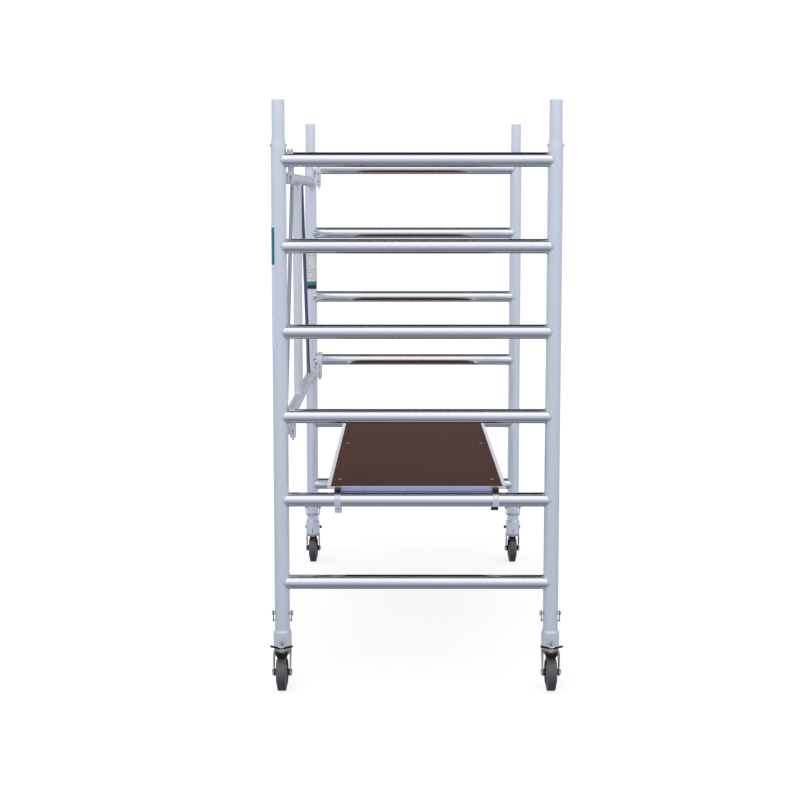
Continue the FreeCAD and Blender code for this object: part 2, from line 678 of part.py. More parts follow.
# ================================================================ check and write
doc.recompute()
bad = []
for o in doc.Objects:
    for flag in ("Invalid", "Error"):
        if flag in o.State:
            bad.append("%s (%s): %s" % (o.Name, o.Label, o.State))
if bad:
    raise RuntimeError("failed objects: " + "; ".join(bad))
if len(NODES) > 60:
    raise RuntimeError("too many nodes: %d" % len(NODES))
labels = [o.Label for o in NODES]
if len(set(labels)) != len(labels):
    raise RuntimeError("a label is used twice")
for o in NODES:
    sh = o.Shape
    if sh.isNull() or not sh.isValid() or not sh.Solids or sh.Volume <= 0:
        raise RuntimeError("bad shape in " + o.Label)

os.makedirs("parts", exist_ok=True)
for old in os.listdir("parts"):
    if old.endswith(".step"):
        os.remove(os.path.join("parts", old))
for o in NODES:
    o.Shape.exportStep(os.path.join("parts", o.Label + ".step"))
    bb = o.Shape.BoundBox
    print("%-28s solids %d  vol %10.1f  x %8.2f %8.2f  y %8.2f %8.2f  z %8.2f %8.2f" % (
        o.Label, len(o.Shape.Solids), o.Shape.Volume, bb.XMin, bb.XMax, bb.YMin, bb.YMax, bb.ZMin, bb.ZMax))
print("nodes", len(NODES))
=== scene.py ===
import json
import math

import bmesh
import bpy
from mathutils import Matrix, Vector


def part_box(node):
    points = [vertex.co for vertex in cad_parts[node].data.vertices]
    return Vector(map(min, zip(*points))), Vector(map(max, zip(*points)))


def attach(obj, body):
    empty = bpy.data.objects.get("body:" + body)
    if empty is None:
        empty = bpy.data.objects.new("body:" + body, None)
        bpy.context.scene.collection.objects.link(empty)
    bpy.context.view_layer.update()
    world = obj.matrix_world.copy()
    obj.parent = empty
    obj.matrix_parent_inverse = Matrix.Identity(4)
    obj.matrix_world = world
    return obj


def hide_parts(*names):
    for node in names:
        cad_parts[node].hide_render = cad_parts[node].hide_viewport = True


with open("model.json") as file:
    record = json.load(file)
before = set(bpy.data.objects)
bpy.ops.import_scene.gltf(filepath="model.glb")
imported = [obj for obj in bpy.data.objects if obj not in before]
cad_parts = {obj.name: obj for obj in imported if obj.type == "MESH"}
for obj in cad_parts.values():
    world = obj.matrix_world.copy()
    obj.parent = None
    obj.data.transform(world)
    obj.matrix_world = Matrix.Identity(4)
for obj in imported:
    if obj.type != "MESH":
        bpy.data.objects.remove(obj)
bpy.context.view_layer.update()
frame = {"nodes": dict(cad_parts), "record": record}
NODES = frame["nodes"]
RECORD = frame["record"]
SLOT = {s["node"]: s["material_slot"] for s in RECORD["subparts"]}
scene = bpy.context.scene
scene.view_settings.view_transform = "Standard"
scene.view_settings.look = "None"
scene.view_settings.exposure = 0.0
scene.view_settings.gamma = 1.0


# ------------------------------------------------------------------ node helpers
def srgb(v):
    """A 0-255 display value as linear light."""
    c = v / 255.0
    return c / 12.92 if c <= 0.04045 else ((c + 0.055) / 1.055) ** 2.4


def rgb(r, g, b):
    return (srgb(r), srgb(g), srgb(b), 1.0)


class Mat:
    """A small helper round one material's node tree."""

    def __init__(self, name):
        self.m = bpy.data.materials.new(name)
        self.m.use_nodes = True
        self.t = self.m.node_tree
        self.t.nodes.clear()
        self.out = self.t.nodes.new("ShaderNodeOutputMaterial")
        self.p = self.t.nodes.new("ShaderNodeBsdfPrincipled")
        self.t.links.new(self.p.outputs[0], self.out.inputs[0])
        self.tc = None

    def n(self, kind, **props):
        node = self.t.nodes.new(kind)
        for k, v in props.items():
            setattr(node, k, v)
        return node

    def link(self, a, b):
        self.t.links.new(a, b)

    def coord(self, scale=(1, 1, 1), rot=(0, 0, 0), which="Object"):
        if self.tc is None:
            self.tc = self.n("ShaderNodeTexCoord")
        m = self.n("ShaderNodeMapping")
        m.inputs["Scale"].default_value = scale
        m.inputs["Rotation"].default_value = rot
        self.link(self.tc.outputs[which], m.inputs["Vector"])
        return m.outputs[0]

    def noise(self, vec, scale=5.0, detail=4.0, rough=0.5, dist=0.0):
        x = self.n("ShaderNodeTexNoise")
        x.inputs["Scale"].default_value = scale
        x.inputs["Detail"].default_value = detail
        x.inputs["Roughness"].default_value = rough
        x.inputs["Distortion"].default_value = dist
        self.link(vec, x.inputs["Vector"])
        return x.outputs["Fac"]

    def voronoi(self, vec, scale=5.0, feature="F1", rand=1.0, out="Distance"):
        x = self.n("ShaderNodeTexVoronoi")
        x.feature = feature
        x.inputs["Scale"].default_value = scale
        x.inputs["Randomness"].default_value = rand
        self.link(vec, x.inputs["Vector"])
        return x.outputs[out]

    def ramp(self, fac, stops, mode="LINEAR"):
        r = self.n("ShaderNodeValToRGB")
        r.color_ramp.interpolation = mode
        el = r.color_ramp.elements
        while len(el) > 1:
            el.remove(el[-1])
        el[0].position, el[0].color = stops[0][0], self._c(stops[0][1])
        for pos, c in stops[1:]:
            e = el.new(pos)
            e.color = self._c(c)
        self.link(fac, r.inputs[0])
        return r.outputs[0]

    @staticmethod
    def _c(c):
        if isinstance(c, (int, float)):
            return (c, c, c, 1.0)
        return tuple(c) if len(c) == 4 else (*c, 1.0)

    def math(self, op, a, b=None, clamp=False):
        x = self.n("ShaderNodeMath", operation=op, use_clamp=clamp)
        for i, v in enumerate((a, b)):
            if v is None:
                continue
            if isinstance(v, (int, float)):
                x.inputs[i].default_value = v
            else:
                self.link(v, x.inputs[i])
        return x.outputs[0]

    def mix(self, fac, a, b, blend="MIX"):
        x = self.n("ShaderNodeMix", data_type="RGBA", blend_type=blend)
        for sock, v in ((x.inputs[0], fac), (x.inputs[6], a), (x.inputs[7], b)):
            if isinstance(v, (int, float)):
                sock.default_value = v
            elif isinstance(v, (tuple, list)):
                sock.default_value = self._c(v)
            else:
                self.link(v, sock)
        return x.outputs[2]

    def remap(self, fac, lo, hi, a, b):
        x = self.n("ShaderNodeMapRange")
        x.inputs["From Min"].default_value = lo
        x.inputs["From Max"].default_value = hi
        x.inputs["To Min"].default_value = a
        x.inputs["To Max"].default_value = b
        self.link(fac, x.inputs["Value"])
        return x.outputs[0]

    def set(self, name, v):
        s = self.p.inputs[name]
        if isinstance(v, (int, float)):
            s.default_value = v
        elif isinstance(v, (tuple, list)):
            s.default_value = self._c(v)
        else:
            self.link(v, s)
        return self

    def bump(self, height, strength, dist=0.0005, base=None):
        b = self.n("ShaderNodeBump")
        b.inputs["Strength"].default_value = strength
        b.inputs["Distance"].default_value = dist
        self.link(height, b.inputs["Height"])
        if base is not None:
            self.link(base, b.inputs["Normal"])
        self.link(b.outputs[0], self.p.inputs["Normal"])
        return b.outputs[0]

    def edge(self, radius):
        """Softly rounded normals along sharp edges."""
        b = self.n("ShaderNodeBevel")
        b.samples = 4
        b.inputs["Radius"].default_value = radius
        return b.outputs[0]


def metal(name, colour, rough, axis=None, streak=0.25, spots=0.3, blotch=0.06, bump=0.03, edge=0.0006, tint=None,
          aniso=0.0):
    """Satin or polished metal: drawn streaks along its length, faint blotches and small scuffs."""
    m = Mat(name)
    m.set("Metallic", 1.0)
    stretch = {"X": (1.5, 90, 90), "Y": (90, 1.5, 90), "Z": (90, 90, 1.5), None: (30, 30, 30)}[axis]
    lines = m.noise(m.coord(stretch), 14.0, 5.0, 0.62)
    big = m.noise(m.coord((1, 1, 1)), 3.1, 3.0, 0.5)
    fine = m.noise(m.coord((1, 1, 1)), 46.0, 6.0, 0.66)
    scuff = m.ramp(m.noise(m.coord(tuple(s * 0.35 for s in stretch)), 9.0, 8.0, 0.74, 0.6), [(0.60, 0.0), (0.70, 1.0)])
    dark = tuple(c * (1.0 - blotch) for c in colour)
    base = m.mix(m.remap(big, 0.35, 0.65, 0.0, 1.0), dark, colour)
    if tint is not None:
        base = m.mix(m.remap(fine, 0.45, 0.62, 0.0, 0.35), base, tint)
    m.set("Base Color", base)
    r = m.remap(lines, 0.3, 0.7, rough * (1.0 - streak), rough * (1.0 + streak))
    r = m.math("ADD", r, m.math("MULTIPLY", scuff, spots * 0.12))
    r = m.math("ADD", r, m.remap(fine, 0.3, 0.7, -0.015, 0.015), clamp=True)
    m.set("Roughness", r)
    m.set("Anisotropic", aniso)
    h = m.math("ADD", m.math("MULTIPLY", lines, 0.7), m.math("MULTIPLY", fine, 0.3))
    m.bump(h, bump, 0.0004, m.edge(edge) if edge else None)
    return m


MATS = {}
MATS["upright_alloy"] = metal("upright_alloy", (0.908, 0.948, 0.985), 0.56, "Z", bump=0.015, blotch=0.02, edge=0)
MATS["rung_alloy"] = metal("rung_alloy", (0.978, 0.98, 0.985), 0.11, "X", spots=0.2, bump=0.006, blotch=0.012, edge=0)
MATS["beam_alloy"] = metal("beam_alloy", (0.97, 0.955, 0.93), 0.25, "Y", bump=0.02, edge=0)
# End beam: its strong blue base colour is a painted reflection of the pale blue sky that its front face mirrors, not
# the alloy's own colour.
MATS["end_beam_alloy_painted_sky_blue"] = metal("end_beam_alloy_painted_sky_blue", (0.50, 0.60, 1.0), 0.34, "X", bump=0.02, edge=0)
MATS["rail_alloy"] = metal("rail_alloy", (0.965, 0.985, 1.0), 0.70, "Y", bump=0.015, edge=0)
MATS["claw_alloy"] = metal("claw_alloy", (0.82, 0.85, 0.88), 0.24, None, spots=0.5, bump=0.04, edge=0)
MATS["latch_alloy"] = metal("latch_alloy", (0.93, 0.95, 1.0), 0.55, None, spots=0.5, bump=0.04, edge=0)
# Braces: the dark slate-blue base colour is a painted reflection, standing in for the dark ceiling that the leaning
# braces mirror.
MATS["brace_alloy"] = metal("brace_alloy", (0.36, 0.40, 0.52), 0.34, "Z", bump=0.02, edge=0)
MATS["rivet_alloy"] = metal("rivet_alloy", (0.80, 0.80, 0.80), 0.34, None, bump=0.04, edge=0)
MATS["zinc_steel"] = metal("zinc_steel", (0.60, 0.60, 0.535), 0.32, None, spots=0.9, blotch=0.30, bump=0.07,
                           tint=(0.42, 0.42, 0.36), edge=0)
# Near-black steel. On the brake cheek and the outer wings of the brake pedal it serves as painted shade.
MATS["dark_steel"] = metal("dark_steel", (0.070, 0.070, 0.066), 0.45, None, spots=0.9, blotch=0.35, bump=0.08,
                           tint=(0.035, 0.035, 0.032), edge=0)
# Bright steel. On the brake pedal's centre plate it serves as a painted highlight.
MATS["bright_steel"] = metal("bright_steel", (0.83, 0.83, 0.75), 0.20, None, spots=0.5, blotch=0.10, bump=0.04, edge=0)
MATS["wire_steel"] = metal("wire_steel", (0.40, 0.40, 0.40), 0.32, None, spots=0.5, blotch=0.2, bump=0.04, edge=0)
MATS["button_steel"] = metal("button_steel", (0.70, 0.72, 0.76), 0.30, None, spots=0.4, bump=0.04, edge=0)
MATS["weld_alloy"] = metal("weld_alloy", (0.80, 0.82, 0.90), 0.34, None, spots=0.8, blotch=0.10, bump=0.10, edge=0)


def plastic(name, colour, rough, grain=320.0, bump=0.12, level=0.45):
    m = Mat(name)
    big = m.noise(m.coord(), 6.0, 3.0, 0.5)
    fine = m.noise(m.coord(), grain, 3.0, 0.6)
    dust = m.ramp(m.noise(m.coord(), 38.0, 7.0, 0.7, 0.4), [(0.52, 0.0), (0.72, 1.0)])
    base = m.mix(big, tuple(c * 0.82 for c in colour), tuple(min(1.0, c * 1.15) for c in colour))
    m.set("Base Color", m.mix(m.math("MULTIPLY", dust, 0.10), base, tuple(min(1.0, c * 1.9 + 0.02) for c in colour)))
    m.set("Roughness", m.remap(fine, 0.3, 0.7, rough - 0.08, rough + 0.08))
    m.set("Specular IOR Level", level)
    m.bump(fine, bump, 0.0003)
    return m


MATS["black_plastic"] = plastic("black_plastic", (0.012, 0.013, 0.016), 0.45, level=0.3)
MATS["castor_core"] = plastic("castor_core", (0.020, 0.021, 0.022), 0.50, level=0.3)
MATS["castor_tyre"] = plastic("castor_tyre", (0.050, 0.050, 0.046), 0.26, grain=420.0, bump=0.10, level=1.0)

# Labels: plain coloured fields. The front one is teal at its head and pale below, the rear one is white with
# rows of plain grey bars over a teal and a black band.
lab = Mat("label_film")
sx = lab.n("ShaderNodeSeparateXYZ")
lab.link(lab.coord(), sx.inputs[0])
LX, LY, LZ = sx.outputs
front_label = lab.ramp(lab.remap(LZ, 1.143, 1.549, 0.0, 1.0),
                       [(0.0, rgb(206, 216, 232)), (0.300, rgb(188, 200, 222)), (0.306, rgb(208, 218, 234)),
                        (0.655, rgb(186, 198, 220)), (0.662, rgb(214, 222, 236)), (0.688, rgb(6, 112, 122)),
                        (0.975, rgb(6, 104, 116)), (0.985, rgb(206, 216, 232))], "CONSTANT")
rear_label = lab.ramp(lab.remap(LZ, 1.238, 1.453, 0.0, 1.0),
                      [(0.0, rgb(12, 14, 20)), (0.075, rgb(8, 120, 134)), (0.150, rgb(212, 213, 208))], "CONSTANT")
row = lab.math("MULTIPLY", LZ, 82.0)
cell = lab.math("FRACT", row)
rowid = lab.math("FLOOR", row)
wn = lab.n("ShaderNodeTexWhiteNoise", noise_dimensions="1D")
lab.link(rowid, wn.inputs["W"])
length = lab.remap(wn.outputs["Value"], 0.0, 1.0, -0.466, -0.431)
bar = lab.math("MULTIPLY", lab.math("GREATER_THAN", cell, 0.34), lab.math("LESS_THAN", cell, 0.66))
bar = lab.math("MULTIPLY", bar, lab.math("LESS_THAN", LX, length))
bar = lab.math("MULTIPLY", bar, lab.math("GREATER_THAN", LZ, 1.285))
bar = lab.math("MULTIPLY", bar, lab.math("LESS_THAN", LZ, 1.42))
rear_label = lab.mix(lab.math("MULTIPLY", bar, 0.55), rear_label, rgb(138, 150, 165))
both = lab.mix(lab.math("GREATER_THAN", LY, 0.0), front_label, rear_label)
soil = lab.noise(lab.coord(), 21.0, 6.0, 0.62)
lab.set("Base Color", lab.mix(lab.remap(soil, 0.35, 0.75, 0.0, 0.12), both, rgb(150, 155, 160)))
lab.set("Roughness", lab.remap(soil, 0.3, 0.7, 0.34, 0.50))
lab.set("Specular IOR Level", 0.3)
lab.bump(lab.noise(lab.coord(), 160.0, 3.0, 0.5), 0.04, 0.0002)
MATS["label_film"] = lab

# Deck: brown phenolic film pressed with a fine mesh, lightly scuffed, over pale and dark plies at its edge.
deck = Mat("deck_ply")
film = deck.noise(deck.coord((1.0, 0.35, 1.0)), 5.0, 5.0, 0.55)
wear = deck.ramp(deck.noise(deck.coord((1.0, 0.5, 1.0)), 11.0, 9.0, 0.72, 0.8), [(0.56, 0.0), (0.76, 1.0)])
mesh_cells = deck.voronoi(deck.coord((1.0, 1.0, 0.0)), 260.0, "DISTANCE_TO_EDGE", 0.05)
mesh_line = deck.ramp(mesh_cells, [(0.0, 1.0), (0.12, 1.0), (0.22, 0.0)])
brown = deck.mix(deck.remap(film, 0.35, 0.65, 0.0, 1.0), rgb(68, 39, 29)[:3], rgb(80, 48, 37)[:3])
brown = deck.mix(deck.math("MULTIPLY", mesh_line, 0.25), brown, rgb(46, 29, 25)[:3])
brown = deck.mix(deck.math("MULTIPLY", wear, 0.13), brown, rgb(116, 88, 78)[:3])
dz = deck.n("ShaderNodeSeparateXYZ")
deck.link(deck.coord(), dz.inputs[0])
ply = deck.ramp(deck.math("FRACT", deck.math("MULTIPLY", dz.outputs[2], 1000.0 / 1.6)),
                [(0.0, rgb(96, 66, 50)), (0.45, rgb(116, 82, 62)), (0.55, rgb(62, 42, 34)), (1.0, rgb(80, 55, 43))])
geo = deck.n("ShaderNodeNewGeometry")
nz = deck.n("ShaderNodeSeparateXYZ")
deck.link(geo.outputs["True Normal"], nz.inputs[0])
side = deck.math("LESS_THAN", deck.math("ABSOLUTE", nz.outputs[2]), 0.5)
inner_ply = deck.math("MULTIPLY", side, deck.math("LESS_THAN", dz.outputs[2], 0.6888))
deck.set("Base Color", deck.mix(inner_ply, brown, ply))
deck.set("Roughness", deck.remap(deck.math("ADD", film, deck.math("MULTIPLY", wear, 0.5)), 0.3, 1.2, 0.62, 0.80))
deck.set("Specular IOR Level", 0.11)
deck.bump(mesh_line, 0.25, 0.0004)
MATS["deck_ply"] = deck

for name, obj in NODES.items():
    obj.data.materials.clear()
    obj.data.materials.append(MATS[SLOT[name]].m)
    # The crossbars take the blue end-beam metal, whose colour is a painted sky reflection.
    if name == "platform_crossbars":
        obj.data.materials[0] = MATS["end_beam_alloy_painted_sky_blue"].m
    if name.startswith("pin_bail"):
        obj.data.materials[0] = MATS["wire_steel"].m


# ------------------------------------------------------------------ pieces made here
def corner_tags():
    return [n[len("tyre_"):] for n in sorted(NODES) if n.startswith("tyre_")]


def mid(node):
    lo_, hi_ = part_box(node)
    return Vector([(a + b) / 2 for a, b in zip(lo_, hi_)])


def build(name, verts, faces, mat, body, nodes=(), smooth=38.0, flip=True):
    me = bpy.data.meshes.new(name)
    me.from_pydata([tuple(v) for v in verts], [], faces)
    me.update()
    if flip:
        b = bmesh.new()
        b.from_mesh(me)
        bmesh.ops.recalc_face_normals(b, faces=b.faces)
        b.to_mesh(me)
        b.free()
    for p in me.polygons:
        p.use_smooth = True
    me.set_sharp_from_angle(angle=math.radians(smooth))
    o = bpy.data.objects.new(name, me)
    scene.collection.objects.link(o)
    for k in (mat if isinstance(mat, (list, tuple)) else [mat]):
        me.materials.append(MATS[k].m)
    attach(o, body)
    if nodes:
        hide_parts(*nodes)
    return o


def bevel(o, width, seg=2, angle=38.0):
    b = o.modifiers.new("rounded", "BEVEL")
    b.width = width
    b.segments = seg
    b.limit_method = "ANGLE"
    b.angle_limit = math.radians(angle)
    b.use_clamp_overlap = True
    b.harden_normals = True
    return o


def formed(node, width, mat=None, seg=2, dissolve=0.6, name=None, move=None, angle=38.0):
    """The CAD node's own shape with its sharp edges rounded."""
    src = NODES[node].data
    me = bpy.data.meshes.new(node + "_m")
    me.from_pydata([(move(v.co) if move else v.co)[:] for v in src.vertices], [],
                   [tuple(p.vertices) for p in src.polygons])
    b = bmesh.new()
    b.from_mesh(me)
    bmesh.ops.remove_doubles(b, verts=b.verts, dist=2e-6)
    bmesh.ops.dissolve_degenerate(b, edges=b.edges, dist=1e-6)
    bmesh.ops.recalc_face_normals(b, faces=b.faces)
    bmesh.ops.dissolve_limit(b, angle_limit=math.radians(dissolve), verts=b.verts, edges=b.edges)
    vs = [v.co.copy() for v in b.verts]
    b.verts.index_update()
    fs = [tuple(v.index for v in f.verts) for f in b.faces]
    b.free()
    bpy.data.meshes.remove(me)
    body = [k for k, v in RECORD["behaviour"]["bodies"].items() if node in v][0]
    o = build(name or node + "_formed", vs, fs, mat or SLOT[node], body, (node,), flip=False)
    return bevel(o, width, seg, angle)


def rounded(pts, r, k=3):
    """A closed outline with its corners rounded, none by more than 0.45 of its shorter side."""
    out = []
    n = len(pts)
    for i in range(n):
        p, a, b = Vector(pts[i]), Vector(pts[i - 1]), Vector(pts[(i + 1) % n])
        da, db = (a - p), (b - p)
        d = min(r, da.length * 0.45, db.length * 0.45)
        s0, s1 = p + da.normalized() * d, p + db.normalized() * d
        for j in range(k + 1):
            t = j / k
            out.append(tuple((1 - t) ** 2 * s0 + 2 * t * (1 - t) * p + t * t * s1))
    return out


def lathe(profile, c, seg=96, base=0):
    """Turns a closed outline of (x, radius), in metres, about the X line through c."""
    vs, fs, n = [], [], len(profile)
    for i in range(seg):
        t = 2 * math.pi * i / seg
        for a, r in profile:
            vs.append((c[0] + a, c[1] + r * math.cos(t), c[2] + r * math.sin(t)))
    for i in range(seg):
        j = (i + 1) % seg
        for k in range(n):
            m = (k + 1) % n
            fs.append((base + i * n + k, base + i * n + m, base + j * n + m, base + j * n + k))
    return vs, fs


def block(vs, fs, corners):
    """Adds a six-sided block; corners are bottom loop then top loop."""
    b = len(vs)
    vs.extend(corners)
    for f in ((0, 3, 2, 1), (4, 5, 6, 7), (0, 1, 5, 4), (1, 2, 6, 5), (2, 3, 7, 6), (3, 0, 4, 7)):
        fs.append(tuple(b + i for i in f))


mm = 0.001
for tag in corner_tags():
    out_ = -1.0 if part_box("tyre_" + tag)[0][1] < 0 else 1.0
    c = mid("tyre_" + tag)
    rim = 38.02
    half = [(19.0, rim), (18.7, 40.2), (17.5, 43.0), (15.8, 46.6), (15.05, 50.0), (15.25, 50.6), (15.25, 51.4),
            (14.8, 52.0), (14.45, 56.5), (14.65, 57.1), (14.6, 57.9), (14.2, 58.5), (13.9, 60.2), (13.0, 61.55),
            (11.4, 62.2), (8.0, 62.42), (3.0, 62.48), (0.6, 62.3), (0.0, 62.25)]
    prof = [(a * mm, r * mm) for a, r in half] + [(-a * mm, r * mm) for a, r in reversed(half[:-1])]
    vs, fs = lathe(prof, c, 128)
    build("tyre_moulded_" + tag, vs, fs, "castor_tyre", "wheel_" + tag, ("tyre_" + tag,), 50)

    core = rounded([(-25.7, 5.06), (-25.7, 11.2), (-9, 14.2), (-6.5, 27.6), (-16, 31.2), (-18.8, 37.99), (18.8, 37.99),
                    (16, 31.2), (6.5, 27.6), (9, 14.2), (25.7, 11.2), (25.7, 5.06)], 1.2)
    vs, fs = lathe([(a * mm, r * mm) for a, r in core], c, 96)
    for i in range(10):
        t = 2 * math.pi * (i + 0.5) / 10
        u, w = Vector((0, math.cos(t), math.sin(t))), Vector((0, -math.sin(t), math.cos(t))) * 1.3 * mm
        for s in (-1, 1):
            q0, q1 = c + u * 12.6 * mm, c + u * 32.0 * mm
            X = Vector((s * mm, 0, 0))
            a0, a1, b0, b1 = q0 + X * 5.0, q0 + X * 15.0, q1 + X * 5.0, q1 + X * 13.5
            block(vs, fs, [a0 - w, b0 - w, b0 + w, a0 + w, a1 - w * 0.75, b1 - w * 0.75, b1 + w * 0.75, a1 + w * 0.75])
    build("wheel_ribbed_" + tag, vs, fs, "castor_core", "wheel_" + tag, ("wheel_core_" + tag,), 40)
    vs, fs = [], []
    for s in (-1, 1):
        ring = rounded([(24.6, 5.3), (24.6, 9.4), (25.98, 9.0), (25.98, 5.3)], 0.4)
        v2, f2 = lathe([(a * s * mm, r * mm) for a, r in ring], c, 64, len(vs))
        vs += v2
        fs += f2
    build("wheel_bearing_" + tag, vs, fs, "bright_steel", "wheel_" + tag, smooth=40)

    # fork and pedal keep their pressed shapes, with rolled edges
    formed("castor_fork_" + tag, 0.0009)
    # Painted highlight and shade: the pedal's centre plate gets bright steel and its wings near-black steel, so one
    # steel pressing shows as lit and shaded copies.
    pedal_painted_lit_and_shaded = formed("brake_pedal_" + tag, 0.0007, ["bright_steel", "dark_steel"])
    px = mid("brake_pedal_" + tag)[0]
    for p in pedal_painted_lit_and_shaded.data.polygons:
        if abs(p.center[0] - px) > 0.0088:
            p.material_index = 1
    formed("axle_bolt_" + tag, 0.0005)

    # brake cheek: a pressed plate that closes the front of the crown; its near-black colour is painted shade, standing
    # in for the shadowed inside of the crown
    yf = c[1] + out_ * 0.0158
    vs, fs = [], []

    def P(x, y, z):
        return Vector((c[0] + x * mm, yf + out_ * y * mm, z * mm))

    block(vs, fs, [P(-13, 0, 123.4), P(13, 0, 123.4), P(14, 3.0, 122.6), P(-14, 3.0, 122.6),
                   P(-21.5, 0, 129.5), P(21.5, 0, 129.5), P(22.5, 3.6, 129.2), P(-22.5, 3.6, 129.2)])
    block(vs, fs, [P(-21.5, 0, 129.5), P(21.5, 0, 129.5), P(22.5, 3.6, 129.2), P(-22.5, 3.6, 129.2),
                   P(-23, 0, 134.3), P(23, 0, 134.3), P(23, 2.4, 134.6), P(-23, 2.4, 134.6)])
    # brake shoe: a tongue that narrows as it leans out over the tyre, in the same near-black painted-shade colour over
    # the shaded top of the tyre
    block(vs, fs, [P(-22, 1.2, 126.0), P(22, 1.2, 126.0), P(22, 2.4, 128.3), P(-22, 2.4, 128.3),
                   P(-11.5, 19.2, 117.0), P(11.5, 19.2, 117.0), P(11.5, 20.2, 119.3), P(-11.5, 20.2, 119.3)])
    shade_cheek = build("brake_cheek_painted_shade_" + tag, vs, fs, "dark_steel", "castor_" + tag)
    bevel(shade_cheek, 0.0009, 3)

# Uprights: the step from the tube down to its wider socket is a short rounded ledge.
def ledge(cx, cy):
    def move(p):
        r = math.hypot(p.x - cx, p.y - cy)
        if 0.0245 < r < 0.0255 and 0.2003 < p.z < 0.2017:
            return Vector((p.x, p.y, 0.1957))
        return p
    return move


for n in sorted(NODES):
    if n.startswith("upright_"):
        c = mid(n)
        formed(n, 0.0007, seg=2, move=ledge(c.x, c.y), angle=30.0)

# Weld beads where each rung meets its uprights.
UP_R, RG_R = 0.025, 0.024
vs, fs = [], []
for label in ("rungs_front", "rungs_rear"):
    rl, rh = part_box(label)
    yc = (rl[1] + rh[1]) / 2
    z0, z1 = rl[2] + RG_R, rh[2] - RG_R
    xs = [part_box("upright_%s_%s" % (label[6:], s)) for s in ("left", "right")]
    for k in range(6):
        zc = z0 + (z1 - z0) * k / 5
        for (ul, uh), s in zip(xs, (1, -1)):
            xc = (ul[0] + uh[0]) / 2
            N, M = 112, 10
            base = len(vs)
            for i in range(N):
                t = 2 * math.pi * i / N
                cy, cz = math.cos(t), math.sin(t)
                p = Vector((xc + s * math.sqrt(UP_R ** 2 - (RG_R * cy) ** 2), yc + RG_R * cy, zc + RG_R * cz))
                radial = Vector((0, cy, cz))
                nrm = Vector((p.x - xc, p.y - yc, 0)).normalized()
                e1 = (radial + nrm).normalized()
                tng = radial.cross(nrm)
                tng = tng.normalized() if tng.length > 1e-6 else Vector((0, -cz, cy))
                e2 = tng.cross(e1).normalized()
                rr = (1.75 + 0.22 * math.sin(i * 2 * math.pi * 28 / N + k)) * mm
                cpt = p + e1 * 0.25 * mm
                for j in range(M):
                    a = 2 * math.pi * j / M
                    vs.append(cpt + e1 * rr * 0.85 * math.cos(a) + e2 * rr * 1.25 * math.sin(a))
            for i in range(N):
                i2 = (i + 1) % N
                for j in range(M):
                    j2 = (j + 1) % M
                    fs.append((base + i * M + j, base + i * M + j2, base + i2 * M + j2, base + i2 * M + j))
build("weld_beads", vs, fs, "weld_alloy", "frame", smooth=75)

# Platform: rounded castings, and ribs along the outside of the extruded side beams.
formed("platform_claws", 0.0009, seg=3)
formed("platform_end_caps", 0.0008, seg=2)
formed("platform_end_trims", 0.0005, seg=2)
bl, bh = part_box("side_beams")
vs, fs = [], []
web = 0.273
for s in (-1, 1):
    for z in (0.6262, 0.6352, 0.6515, 0.6678, 0.6745):
        w_, d_ = (1.6 * mm, 0.9 * mm)
        y0, y1 = bl[1] + 0.0006, bh[1] - 0.0006
        x0, x1 = s * (web - 0.0002), s * (web + d_)
        block(vs, fs, [Vector((x0, y0, z - w_)), Vector((x0, y1, z - w_)), Vector((x0, y1, z + w_)),
                       Vector((x0, y0, z + w_)), Vector((x1, y0, z - w_ * 0.55)), Vector((x1, y1, z - w_ * 0.55)),
                       Vector((x1, y1, z + w_ * 0.55)), Vector((x1, y0, z + w_ * 0.55))])
ribs = build("side_beam_ribs", vs, fs, "beam_alloy", "platform")
bevel(ribs, 0.0002, 1)
for n in sorted(NODES):
    if n.startswith("wind_lock"):
        lever = formed(n, 0.0008)
        if SLOT[n] == "black_plastic":
            j = [k for k in RECORD["behaviour"]["joints"] if k["child"] == n][0]
            px, py, pz = j["pos_m"]
            side_y = -1.0 if py < 0 else 1.0
            vs, fs = [], []
            steps = 14
            for i in range(steps):
                a = math.radians(-62 + 116 * i / (steps - 1))
                for r_, x_ in ((3.32, -4.1), (4.3, -4.1), (4.3, 4.1), (3.32, 4.1)):
                    vs.append(Vector((px + x_ * mm, py + side_y * r_ * math.cos(a) * mm, pz + r_ * math.sin(a) * mm)))
            for i in range(steps - 1):
                for k in range(4):
                    m_ = (k + 1) % 4
                    fs.append((i * 4 + k, i * 4 + m_, i * 4 + 4 + m_, i * 4 + 4 + k))
            fs += [(0, 1, 2, 3), tuple(4 * (steps - 1) + k for k in (3, 2, 1, 0))]
            bevel(build(n + "_cover", vs, fs, "black_plastic", n), 0.0003, 2, 50)
    elif n.startswith("guard_latch"):
        formed(n, 0.0006)
formed("guardrail_claws", 0.0010, seg=3)

# Plugs that close the ends of the two guardrail rails.
rl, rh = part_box("guardrail_rails")
rr_ = (rh[0] - rl[0]) / 2
vs, fs = [], []
for zc in (rl[2] + rr_, rh[2] - rr_):
    for s in (-1, 1):
        yc = rh[1] if s > 0 else rl[1]
        prof = [(-9.0, 0.0), (-9.0, 16.9), (-2.4, 17.9), (-1.2, 17.9), (-0.6, 17.2), (-0.35, 12.0), (-0.3, 0.0)]
        base, N, M = len(vs), 48, len(prof)
        for i in range(N):
            t = 2 * math.pi * i / N
            for a, r in prof:
                vs.append(Vector(((rl[0] + rh[0]) / 2 + r * math.cos(t) * mm, yc + s * a * mm,
                                  zc + r * math.sin(t) * mm)))
        for i in range(N):
            j = (i + 1) % N
            for k in range(M - 1):
                fs.append((base + i * M + k, base + i * M + k + 1, base + j * M + k + 1, base + j * M + k))
plugs = build("guardrail_rail_plugs", vs, fs, "rail_alloy", "guardrail", flip=False)
pm = bmesh.new()
